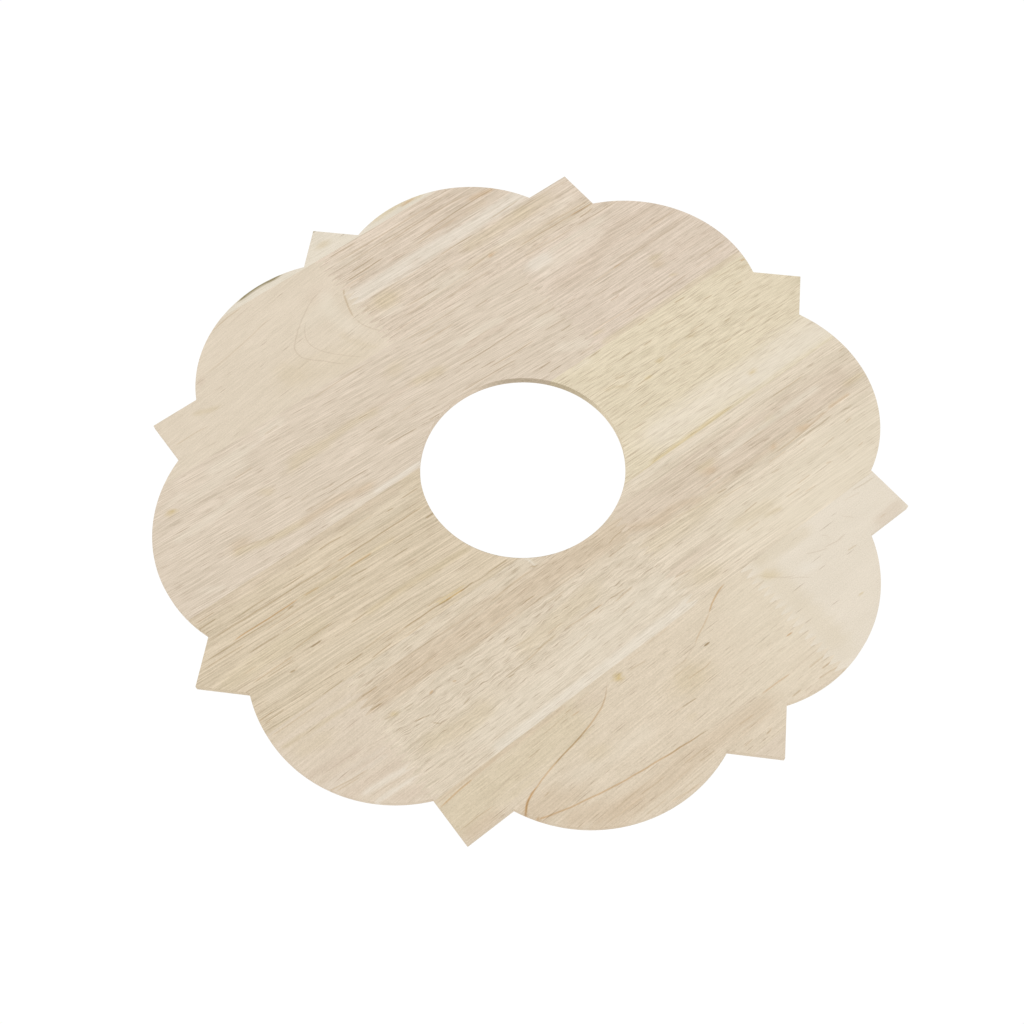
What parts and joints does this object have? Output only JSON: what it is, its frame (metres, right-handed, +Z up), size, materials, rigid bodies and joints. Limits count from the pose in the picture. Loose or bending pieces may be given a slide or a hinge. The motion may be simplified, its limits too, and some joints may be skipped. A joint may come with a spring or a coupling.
{
  "type": "ceiling medallion",
  "caption": "Flat wooden ceiling medallion with rounded lobes, square-cornered points between them and a round centre hole for a light fixture.",
  "frame": {"origin": "centre of the back face, in the middle of the hole, where the medallion meets the ceiling", "axes": "+Z up, out of the back face and into the ceiling; the visible face looks down along -Z; +X and +Y each run towards a point"},
  "size_m": [0.6096, 0.6096, 0.0063],
  "materials": {
    "wood": "sanded, unfinished pale hardwood in glued-up boards"
  },
  "bodies": {
    "root": {"medallion": "wood"}
  },
  "joints": []
}
